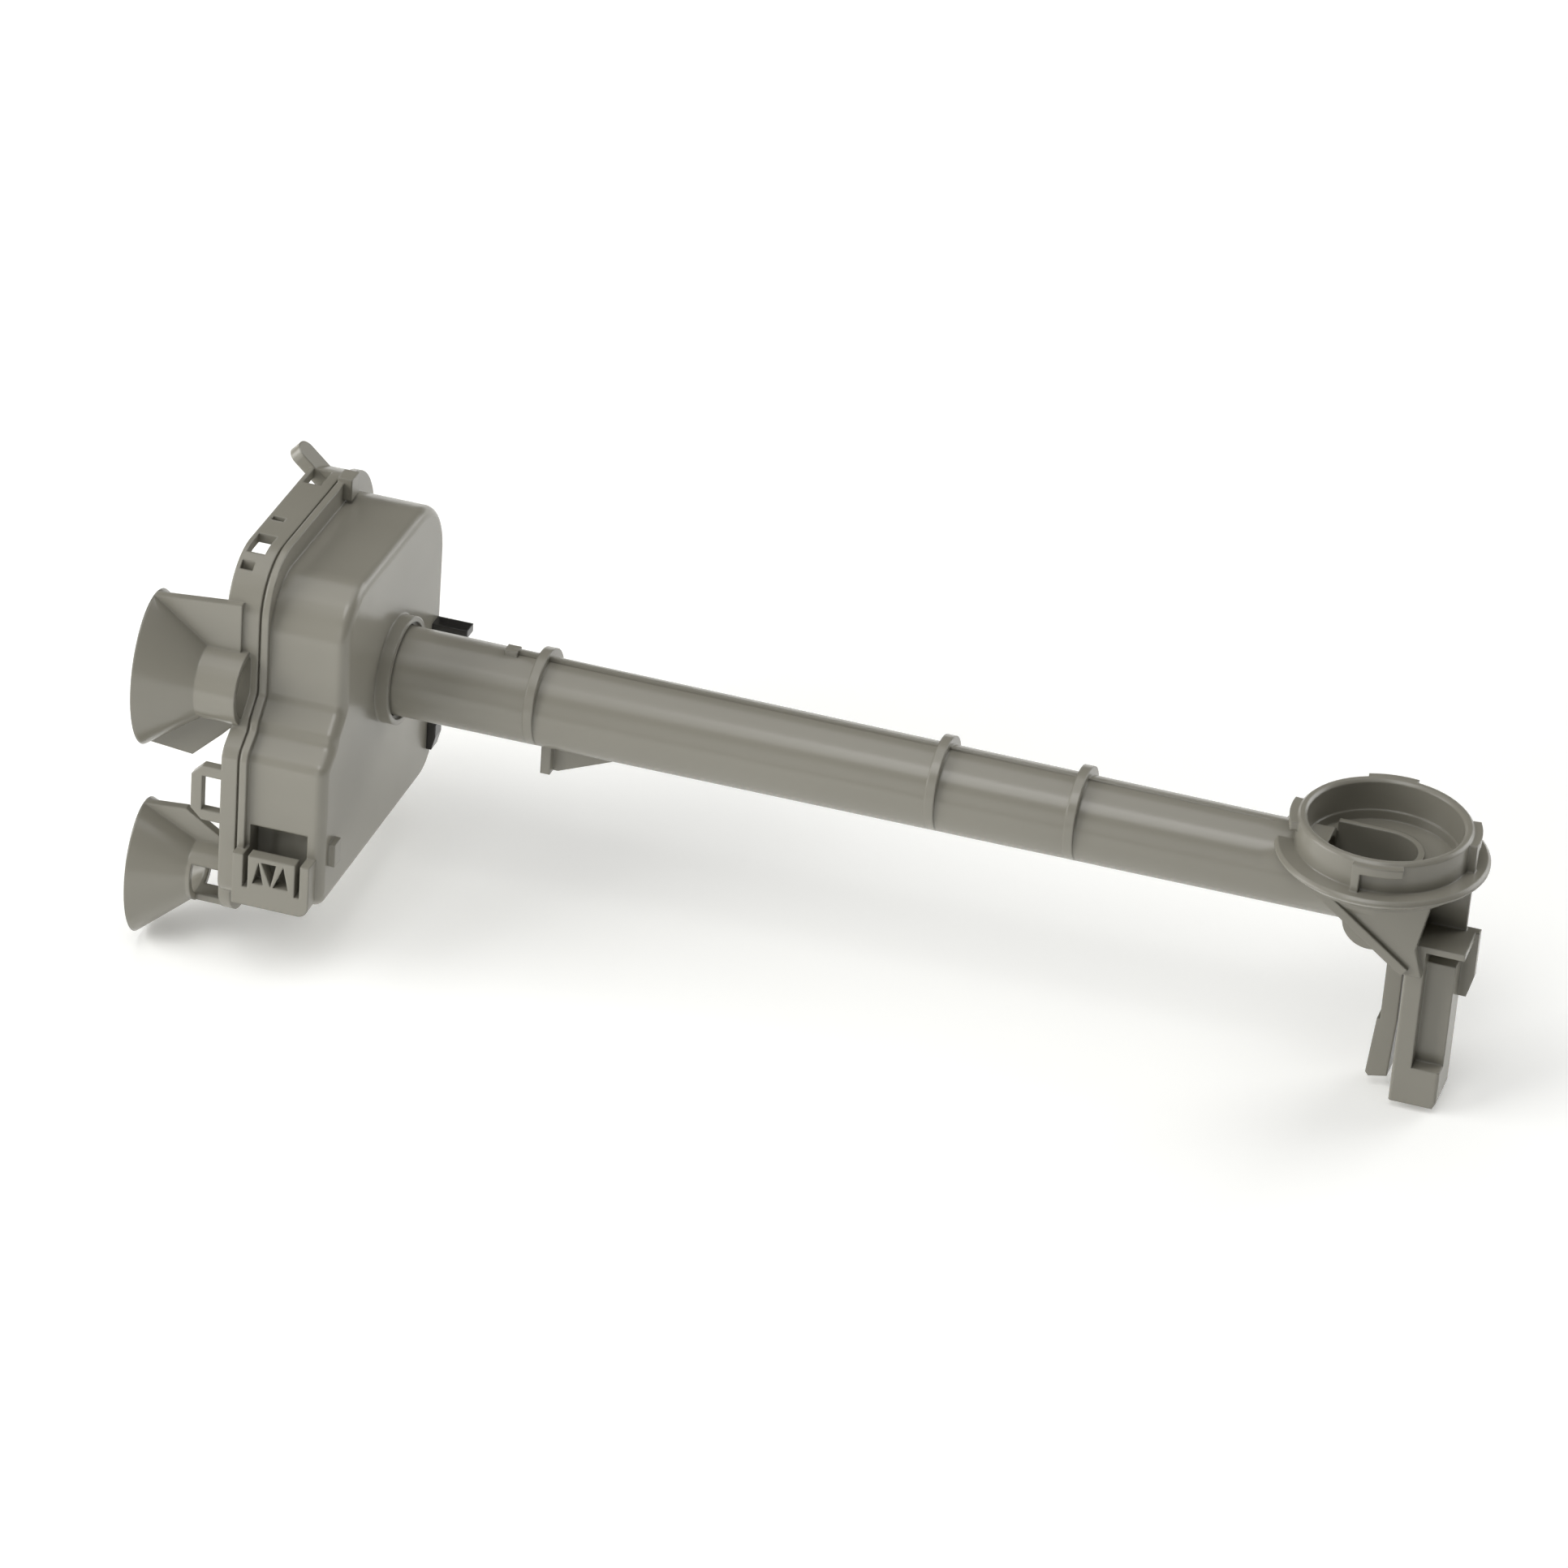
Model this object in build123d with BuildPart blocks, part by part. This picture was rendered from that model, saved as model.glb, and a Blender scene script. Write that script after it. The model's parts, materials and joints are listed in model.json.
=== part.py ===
from build123d import *
import math
import os

os.makedirs("parts", exist_ok=True)

# Frame: X along the tube towards the spray arm, Z up, origin on the collar axis at the arm's seat.
# Collar that takes the spray arm
collar_bore = 16.7
collar_wall = 2.1
rim_height = 7.0
rim_chamfer = 0.6
flange_radius = 23.0
flange_thickness = 1.8
flange_chamfer = 0.7
floor_drop = 2.4
floor_thickness = 2.2
lug_count = 4
lug_first_angle = 9.0
lug_reach = 1.7
lug_width = 10.5
lug_height = 2.0
lug_drop = 0.6
stop_width = 1.8
throat_radius = 7.5
throat_length = 11.5
throat_wall = 1.4
throat_drop = 0.2
seat_step = 0.4

# Tube
tube_drop = 8.3
tube_length = 222.0
tube_root_radius = 10.1
tube_end_radius = 9.2
tube_wall = 1.8
spigot_length = 6.0
ring_offsets = [34.0, 125.0, 156.0]
ring_thickness = 2.2
ring_lift = 1.1
ring_swell = 0.9
nub_offset = 25.0
nub_length = 3.0
nub_rise = 1.2
hook_offset = 36.5
hook_depth = 6.0
hook_width = 7.0
hook_gusset = 15.0
gusset_toe = 0.6
web_thickness = 2.2

# Clip leg below the collar
leg_near = -6.0
leg_far = 6.0
leg_left = 8.8
leg_width = 10.4
leg_drop = 57.3
leg_cheek = 4.2
leg_back = 2.0
leg_round = 0.7
channel_depth = 3.6
foot_height = 9.0
foot_chamfer = 0.7
recess_side = 2.0
shelf_drop = 18.0
shelf_thickness = 1.6
shelf_overhang = 2.2
notch_height = 4.0
boss_radius = 6.2
boss_drop = 8.4
web_start = 12.9
web_near = -8.4
web_drop = 7.0
web_flare = 0.5
web_bead = 2.2
web_bead_rise = 0.9
prong_width = 3.0
prong_drop = 34.0
prong_taper = 1.2
prong_taper_height = 5.0
arm_gap = 1.0
arm_thickness = 3.7
arm_shoulder = 4.0
arm_shoulder_drop = 6.0
arm_step = 0.7
arm_step_drop = 41.0
arm_splay = 1.8
arm_tip_rise = 1.7
arm_tip_slope = 0.9
arm_near = -1.0
arm_far = 6.0

# Housing
face_gap = 0.6
housing_depth = 19.2
shell_wall = 2.0
half_width = 31.0
top_height = 34.5
shell_top_height = 31.0
front_round = 2.4
bottom_depth = 39.5
step_width = 10.5
flare_top = 5.0
flare_drop = 10.0
flare_share = 0.45
ledge_share = 0.5
ledge_drop_share = 0.65
bead_reach = 1.5
bead_thickness = 1.6
socket_radius = 12.2
socket_rise = 3.0
socket_depth = 5.0
socket_fit = 0.15
mouth_radius = 11.0
mouth_depth = 1.0
slot_top = 21.5
slot_setback = 2.4
slot_width = 6.0
slot_back = 2.0
slit_width = 1.2
slit_length = 8.0
latch_top = 27.0
latch_thickness = 3.0
latch_reach = 4.0
latch_margin = 3.6
latch_setback = 1.5
latch_overlap = 0.5
latch_round = 2.5
truss_rib = 1.1
truss_height = 5.6
truss_count = 3
truss_spread = 1.6
pad_rise = 1.4
pad_width = 3.6
pad_height = 5.6
pad_drop = 3.0
pad_inset = 1.5
catch_length = 3.4
catch_width = 4.5
catch_rise = 2.6
catch_side = 12.0

# Wire clip on the far side of the front
clip_inset = 2.6
clip_width = 4.0
clip_plate = 1.4
clip_reach = 8.3
clip_drop = 1.2
clip_upper_thickness = 1.9
clip_gap = 26.7
clip_lower_reach = 2.0
clip_lower_height = 6.5
clip_hook = 0.8
clip_peg_radius = 1.6
clip_peg_fit = 0.06
clip_peg_drop = 14.0

# Docking cover
plate_setback = 4.4
plate_thickness = 2.0
skirt_reach = 1.0
skirt_wall = 2.2
skirt_depth = 8.2
skirt_low = 16.0
groove_width = 0.7
groove_depth = 1.0
port_spacing = 50.0
port_offset = 1.0
lower_axis_rise = 2.4
upper_port_rise = 6.5
upper_bore = 7.1
lower_bore = 5.5
neck_wall = 1.5
neck_inset = 1.7
lower_seat_step = 0.3
lower_seat_length = 3.0
cone_length = 12.6
upper_reach = 20.3
lower_reach = 21.4
upper_rim_half_height = 18.1
upper_rim_half_width = 13.5
lower_rim_half_height = 16.1
lower_rim_half_width = 11.5
cone_wall = 1.5
fin_thickness = 2.0
fin_rise = 2.0
fin_knee = 4.0
fin_lead = 2.6
fin_lip = 0.9
side_window_half = 4.0
side_window_end = 1.0
strap_half_width = 2.4
window_length = 4.2
window_width = 7.2
window_bar = 0.9
far_window_side = 9.8
near_window_inset = 7.5
flex_slit_insets = [3.6, 21.6]
flex_slit_width = 1.8
cut_margin = 5.0
paddle_width = 5.0
paddle_thickness = 3.0
paddle_length = 8.0
paddle_root = 2.0
paddle_drop = 1.2
paddle_lean = 48.0
paddle_side = 19.4
back_rib_sides = [-8.0, 6.0, 20.0]
back_rib_thickness = 1.4
back_rib_height = 2.6
loop_reach = 6.8
loop_corner = 2.5
loop_top = 9.0
loop_height = 13.4
loop_bar = 2.5

# Diverter flap
pivot_radius = 1.5
pivot_fit = 0.06
pivot_gap = 3.1
flap_thickness = 1.8
flap_clearance = 1.0
flap_width = 18.0
flap_cover = 6.0
ear_thickness = 2.0
ear_gap = 0.4
ear_wall = 2.0

# Levels and outlines that follow from the sizes above
axis_z = -tube_drop
tube_axis = Axis((0, 0, axis_z), (1, 0, 0))
collar_radius = collar_bore + collar_wall
root_x = -tube_length
face_x = root_x - face_gap
parting_x = face_x - housing_depth
plate_x = parting_x - plate_setback
plate_front = plate_x + plate_thickness
skirt_back = parting_x - skirt_depth
loop_back = plate_x - loop_reach
neck_front = plate_x + neck_inset
upper_rim_x = plate_x - upper_reach
lower_rim_x = plate_x - lower_reach
port_side = -half_width - port_offset
ring_positions = [root_x + offset for offset in ring_offsets]
hook_position = root_x + hook_offset
window_sides = [far_window_side, -half_width + near_window_inset]
flex_slits = [-half_width + inset for inset in flex_slit_insets]
bore_start = root_x - spigot_length - 1
leg_right = leg_left + leg_width
leg_bottom = -leg_drop
housing_top = axis_z + top_height
housing_bottom = axis_z - bottom_depth
near_low = -half_width - step_width
upper_port = axis_z + upper_port_rise
lower_rim_z = upper_port - port_spacing
lower_port = lower_rim_z + lower_axis_rise
upper_neck = upper_bore + neck_wall
lower_throat = lower_bore + lower_seat_step
lower_neck = lower_throat + neck_wall
shell_top = axis_z + shell_top_height
pivot_z = (upper_port + lower_port) / 2
pivot_x = plate_front + pivot_gap + flap_thickness / 2
flap_near = -half_width + shell_wall + flap_clearance
flap_far = flap_near + flap_width
flap_upper = upper_port - pivot_z + flap_cover
flap_lower = pivot_z - housing_bottom - shell_wall - flap_clearance
ear_sides = [flap_near - ear_gap - ear_thickness, flap_far + ear_gap]
latch_face = near_low - latch_reach
slot_front = latch_face + latch_thickness
slot_rear = slot_front + slot_width
slot_left = parting_x + slot_setback
slot_right = face_x - latch_margin
latch_z = axis_z - latch_top
slot_z = axis_z - slot_top
clip_side = half_width - clip_inset - clip_width
clip_centre = clip_side + clip_width / 2
clip_peg_z = axis_z - clip_peg_drop
funnels = [
    (
        upper_rim_x, upper_port, upper_port, upper_rim_half_width, upper_rim_half_height,
        upper_bore, upper_bore,
    ),
    (
        lower_rim_x, lower_rim_z, lower_port, lower_rim_half_width, lower_rim_half_height,
        lower_throat, lower_bore,
    ),
]
corner_radii = [16.0, 12.0, 3.0, 2.8, 2.8, 3.0, 3.2, 10.0]


def tube_radius(x):
    return tube_root_radius + (tube_end_radius - tube_root_radius) * (x - root_x) / tube_length


def housing_outline(x, grow, top):
    flare_z = axis_z + flare_top
    points = [
        (half_width, top),
        (-half_width, top),
        (-half_width, flare_z),
        (-half_width - flare_share * step_width, flare_z - flare_share * flare_drop),
        (-half_width - ledge_share * step_width, flare_z - ledge_drop_share * flare_drop),
        (near_low, flare_z - flare_drop),
        (near_low, housing_bottom),
        (half_width, housing_bottom),
    ]
    with BuildSketch(Plane.YZ.offset(x)) as outline:
        Polygon(*points, align=None)
        for point, radius in zip(points, corner_radii):
            fillet(vertices().sort_by_distance((point[0], point[1], 0))[0], radius)
        if grow != 0:
            offset(amount=grow)
    return outline.sketch


def box_between(x0, x1, y0, y1, z0, z1, mode=Mode.ADD):
    with Locations(((x0 + x1) / 2, (y0 + y1) / 2, (z0 + z1) / 2)):
        Box(x1 - x0, y1 - y0, z1 - z0, mode=mode)


# Tube outside and bore, both turned about the tube axis and closed by a round end
with BuildPart() as tube_outside:
    with BuildSketch(Plane.XZ) as tube_profile:
        with BuildLine():
            Polyline(
                (0, axis_z),
                (root_x - spigot_length, axis_z),
                (root_x - spigot_length, axis_z + tube_root_radius),
                (root_x, axis_z + tube_root_radius),
                (0, axis_z + tube_end_radius),
            )
            CenterArc((0, axis_z), tube_end_radius, 0, 90)
            Line((tube_end_radius, axis_z), (0, axis_z))
        make_face()
    revolve(axis=tube_axis)

with BuildPart() as tube_bore:
    with BuildSketch(Plane.XZ):
        with BuildLine():
            Polyline(
                (0, axis_z),
                (bore_start, axis_z),
                (bore_start, axis_z + tube_root_radius - tube_wall),
                (root_x, axis_z + tube_root_radius - tube_wall),
                (0, axis_z + tube_end_radius - tube_wall),
            )
            CenterArc((0, axis_z), tube_end_radius - tube_wall, 0, 90)
            Line((tube_end_radius - tube_wall, axis_z), (0, axis_z))
        make_face()
    revolve(axis=tube_axis)

with BuildPart() as feed_tube:
    # Collar: wall, flange and floor, hollowed from above
    with BuildSketch(Plane.XY.offset(-floor_drop - floor_thickness)):
        Circle(collar_radius)
    extrude(amount=floor_drop + floor_thickness + rim_height)
    with BuildSketch(Plane.XY.offset(-flange_thickness)):
        Circle(flange_radius)
    extrude(amount=flange_thickness)
    chamfer(edges().filter_by(GeomType.CIRCLE).group_by(SortBy.RADIUS)[-1], flange_chamfer)
    with BuildSketch(Plane.XY.offset(-floor_drop)):
        Circle(collar_bore - seat_step)
    extrude(amount=floor_drop, mode=Mode.SUBTRACT)
    with BuildSketch(Plane.XY.offset(-throat_drop)):
        Circle(collar_bore)
    extrude(amount=throat_drop + rim_height, mode=Mode.SUBTRACT)
    chamfer(edges().filter_by(GeomType.CIRCLE).group_by(Axis.Z)[-1], rim_chamfer)
    # Bayonet lugs with a stop rib at one end
    with BuildSketch(Plane.XY.offset(rim_height - lug_drop - lug_height)):
        with PolarLocations(collar_radius, lug_count, lug_first_angle):
            Rectangle(2 * lug_reach, lug_width)
        Circle(collar_radius + lug_reach, mode=Mode.INTERSECT)
        Circle(collar_radius - collar_wall / 2, mode=Mode.SUBTRACT)
    extrude(amount=lug_height)
    stop_angle = math.degrees((lug_width - stop_width) / (2 * collar_radius))
    with BuildSketch(Plane.XY):
        with PolarLocations(collar_radius, lug_count, lug_first_angle - stop_angle):
            Rectangle(2 * lug_reach, stop_width)
        Circle(collar_radius + lug_reach, mode=Mode.INTERSECT)
        Circle(collar_radius - collar_wall / 2, mode=Mode.SUBTRACT)
    extrude(amount=rim_height - lug_drop)
    # Tube with its crescent rings, tallest on top
    add(tube_outside.part)
    for ring_x in ring_positions:
        with BuildSketch(Plane.YZ.offset(ring_x)):
            with Locations((0, axis_z + ring_lift)):
                Circle(tube_radius(ring_x) + ring_swell)
        extrude(amount=ring_thickness / 2, both=True)
    nub_x = root_x + nub_offset
    nub_z = axis_z + tube_radius(nub_x)
    box_between(
        nub_x, nub_x + nub_length, -nub_length / 2, nub_length / 2, nub_z - nub_rise, nub_z + nub_rise,
    )
    # Wire hook under the tube: cross plate and gusset
    hook_top = axis_z - tube_root_radius / 2
    hook_low = axis_z - tube_root_radius - hook_depth
    with BuildSketch(Plane.XZ):
        Polygon(
            (hook_position, hook_top),
            (hook_position, hook_low),
            (hook_position + web_thickness, hook_low),
            (hook_position + hook_gusset, axis_z - tube_root_radius - gusset_toe),
            (hook_position + hook_gusset, hook_top),
            align=None,
        )
    extrude(amount=web_thickness / 2, both=True)
    with BuildSketch(Plane.XZ):
        Polygon(
            (hook_position - web_thickness / 2, hook_top),
            (hook_position - web_thickness / 2, hook_low),
            (hook_position + web_thickness / 2, hook_low),
            (hook_position + web_thickness / 2, hook_top),
            align=None,
        )
    extrude(amount=hook_width / 2, both=True)
    # Raised wall round the throat
    with BuildSketch(Plane.XY.offset(axis_z)):
        Circle(throat_radius + throat_wall)
        with Locations((-throat_length / 2, 0)):
            Rectangle(throat_length, 2 * (throat_radius + throat_wall))
    extrude(amount=-axis_z - throat_drop)
    # Clip leg: channel open to the near side, deeper under the shelf, with a solid foot
    with BuildSketch(Plane.XY.offset(leg_bottom)):
        with Locations(((leg_left + leg_right) / 2, (leg_near + leg_far) / 2)):
            RectangleRounded(leg_width, leg_far - leg_near, leg_round)
    extrude(amount=leg_drop - floor_drop - floor_thickness / 2)
    with BuildSketch(Plane.XZ.offset(-leg_far)):
        Polygon(
            (leg_right - foot_chamfer, leg_bottom),
            (leg_right, leg_bottom),
            (leg_right, leg_bottom + 2 * foot_chamfer),
            align=None,
        )
    extrude(amount=leg_far - leg_near, mode=Mode.SUBTRACT)
    channel_left = leg_left + leg_cheek
    shelf_low = -shelf_drop - shelf_thickness
    box_between(
        channel_left, leg_right, leg_near, leg_near + channel_depth,
        leg_bottom + foot_height, shelf_low, Mode.SUBTRACT,
    )
    box_between(
        channel_left, leg_right, leg_near, leg_far - leg_back,
        shelf_low - notch_height, shelf_low, Mode.SUBTRACT,
    )
    box_between(
        channel_left - recess_side, leg_right, leg_near, leg_far - leg_back,
        -shelf_drop, -floor_drop - floor_thickness, Mode.SUBTRACT,
    )
    box_between(
        channel_left - recess_side, leg_right + shelf_overhang, leg_near, leg_far, shelf_low, -shelf_drop,
    )
    # Gusset web from the tube to the leg, with a bead along its free edge
    web_low = axis_z - tube_end_radius - web_drop
    web_slope = math.atan2(axis_z - web_low, web_start + leg_left)
    bead_x = web_bead * math.sin(web_slope)
    bead_z = web_bead * math.cos(web_slope)
    with BuildSketch(Plane.XZ.offset(-leg_near - web_thickness)):
        Polygon(
            (-web_start, axis_z),
            (leg_left, web_low),
            (channel_left, web_low),
            (channel_left - recess_side, -shelf_drop),
            (channel_left + web_flare, -floor_drop - floor_thickness),
            (0, -floor_drop - floor_thickness),
            align=None,
        )
    extrude(amount=leg_near + web_thickness - web_near)
    with BuildSketch(Plane.XZ.offset(-leg_near - web_thickness)):
        Polygon(
            (-web_start, axis_z),
            (leg_left, web_low),
            (leg_left + bead_x, web_low + bead_z),
            (bead_x - web_start, axis_z + bead_z),
            align=None,
        )
    extrude(amount=leg_near + web_thickness - web_near + web_bead_rise)
    # Rounded boss behind the web, and a short prong on the far side of the leg
    with BuildSketch(Plane.XZ.offset(-leg_far)):
        with Locations((0, axis_z - boss_drop)):
            Circle(boss_radius)
    extrude(amount=leg_far - leg_near - web_thickness)
    with BuildSketch(Plane.XZ.offset(-leg_far)):
        Polygon(
            (channel_left, -shelf_drop),
            (channel_left, -prong_drop),
            (leg_right + prong_width - prong_taper, -prong_drop),
            (leg_right + prong_width, -prong_drop + prong_taper_height),
            (leg_right + prong_width, -shelf_drop),
            align=None,
        )
    extrude(amount=leg_back)
    # Snap arm beside the leg, stepped out half way down and splayed at its free end
    arm_right = leg_left - arm_gap
    arm_left = arm_right - arm_thickness
    arm_tip = leg_bottom + arm_tip_rise
    with BuildSketch(Plane.XZ.offset(-arm_far)):
        Polygon(
            (arm_left - arm_shoulder, axis_z),
            (arm_left - arm_shoulder, axis_z - tube_end_radius),
            (arm_left, axis_z - tube_end_radius - arm_shoulder_drop),
            (arm_left, -arm_step_drop),
            (arm_left - arm_step, -arm_step_drop),
            (arm_left - arm_splay, arm_tip + arm_tip_slope),
            (arm_left - arm_splay + arm_step, arm_tip),
            (arm_right - arm_step, arm_tip + arm_tip_slope),
            (arm_right, -arm_step_drop),
            (arm_right, axis_z),
            align=None,
        )
    extrude(amount=arm_far - arm_near)
    # Waterway: collar kept free for the arm's hub, bore, and throat up into the collar
    with BuildSketch(Plane.XY.offset(-throat_drop)):
        Circle(collar_bore)
    extrude(amount=throat_drop + rim_height, mode=Mode.SUBTRACT)
    add(tube_bore.part, mode=Mode.SUBTRACT)
    with BuildSketch(Plane.XY.offset(axis_z)):
        Circle(throat_radius)
        with Locations((-throat_length / 2, 0)):
            Rectangle(throat_length, 2 * throat_radius)
    extrude(amount=-axis_z + rim_height, mode=Mode.SUBTRACT)
feed_tube.part.label = "feed_tube"
export_step(feed_tube.part, "parts/feed_tube.step")

with BuildPart() as housing_shell:
    # Box with rounded front edges and a bead flange at the parting plane
    extrude(to_extrude=housing_outline(parting_x, 0, shell_top), amount=face_x - parting_x)
    fillet(faces().sort_by(Axis.X)[-1].edges(), front_round)
    extrude(to_extrude=housing_outline(parting_x, bead_reach, housing_top), amount=bead_thickness)
    cavity_length = face_x - parting_x - shell_wall
    cavity = housing_outline(parting_x, -shell_wall, shell_top)
    extrude(to_extrude=cavity, amount=cavity_length, mode=Mode.SUBTRACT)
    # Socket ring that takes the tube's spigot
    with BuildSketch(Plane.YZ.offset(face_x - socket_depth)):
        with Locations((0, axis_z)):
            Circle(socket_radius)
    extrude(amount=socket_depth + socket_rise)
    with BuildSketch(Plane.YZ.offset(face_x - socket_depth)):
        with Locations((0, axis_z)):
            Circle(tube_root_radius + socket_fit)
    extrude(amount=socket_depth + socket_rise, mode=Mode.SUBTRACT)
    with BuildSketch(Plane.YZ.offset(face_x + socket_rise - mouth_depth)):
        with Locations((0, axis_z)):
            Circle(mouth_radius)
    extrude(amount=mouth_depth, mode=Mode.SUBTRACT)
    # Wire slot in the near lower corner with a latch tongue before it
    latch_right = face_x - latch_setback
    with BuildSketch(Plane.XZ.offset(-latch_face)):
        with Locations(((parting_x + latch_right) / 2, (housing_bottom + latch_z) / 2)):
            Rectangle(latch_right - parting_x, latch_z - housing_bottom)
        fillet(vertices().group_by(Axis.Y)[0].sort_by(Axis.X)[-1], latch_round)
    extrude(amount=latch_face - slot_rear - slot_back)
    box_between(
        parting_x, latch_right, near_low + latch_overlap, slot_rear + slot_back,
        latch_z, slot_z + shell_wall,
    )
    box_between(
        slot_left, slot_right, slot_front, slot_rear, housing_bottom + shell_wall, slot_z, Mode.SUBTRACT,
    )
    box_between(slot_left, slot_right, latch_face, slot_rear, latch_z, slot_z, Mode.SUBTRACT)
    for slit_x in (slot_left, slot_right - slit_width):
        box_between(
            slit_x, slit_x + slit_width, latch_face, slot_front,
            latch_z - slit_length, latch_z, Mode.SUBTRACT,
        )
    # Truss pockets on the tongue
    truss_high = latch_z - truss_rib
    truss_low = truss_high - truss_height
    truss_left = slot_left + slit_width + truss_rib
    truss_pitch = (slot_right - slit_width - truss_rib - truss_left) / truss_count
    with BuildSketch(Plane.XZ.offset(-latch_face)):
        for step in range(truss_count):
            flip = step % 2
            base = truss_high if flip else truss_low
            tip = truss_low if flip else truss_high
            left = truss_left + step * truss_pitch - truss_pitch / truss_count
            Polygon(
                (max(left, truss_left), base),
                (left + truss_spread * truss_pitch - truss_rib, base),
                (left + truss_spread * truss_pitch / 2, tip),
                align=None,
            )
    extrude(amount=-latch_thickness, mode=Mode.SUBTRACT)
    # Stop pad on the front face, lug on the top, hole for the wire clip's peg
    pad_near = near_low + front_round + pad_inset
    pad_top = slot_z - pad_drop
    box_between(
        face_x - pad_rise, face_x + pad_rise, pad_near, pad_near + pad_width, pad_top - pad_height, pad_top,
    )
    box_between(
        parting_x, parting_x + catch_length, catch_side, catch_side + catch_width,
        housing_top - catch_rise, housing_top + catch_rise,
    )
    with BuildSketch(Plane.YZ.offset(face_x)):
        with Locations((clip_centre, clip_peg_z)):
            Circle(clip_peg_radius + clip_peg_fit)
    extrude(amount=-shell_wall, mode=Mode.SUBTRACT)
housing_shell.part.label = "housing_shell"
export_step(housing_shell.part, "parts/housing_shell.step")

with BuildPart() as wire_clip:
    # Plate on the housing's front with an upper finger, a hooked lower finger and a peg
    clip_back = face_x + clip_plate
    clip_high = axis_z - clip_drop
    clip_low = axis_z - clip_gap
    with BuildSketch(Plane.XZ.offset(-clip_side - clip_width)):
        Polygon(
            (face_x, clip_high),
            (face_x + clip_reach, clip_high),
            (face_x + clip_reach, clip_high - clip_upper_thickness),
            (clip_back, clip_high - clip_upper_thickness),
            (clip_back, clip_low),
            (face_x + clip_lower_reach, clip_low),
            (face_x + clip_lower_reach, clip_low - clip_lower_height / 2),
            (face_x + clip_lower_reach - clip_hook, clip_low - clip_lower_height),
            (face_x, clip_low - clip_lower_height),
            align=None,
        )
    extrude(amount=clip_width)
    with BuildSketch(Plane.YZ.offset(face_x)):
        with Locations((clip_centre, clip_peg_z)):
            Circle(clip_peg_radius)
    extrude(amount=-shell_wall)
wire_clip.part.label = "wire_clip"
export_step(wire_clip.part, "parts/wire_clip.step")

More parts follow.
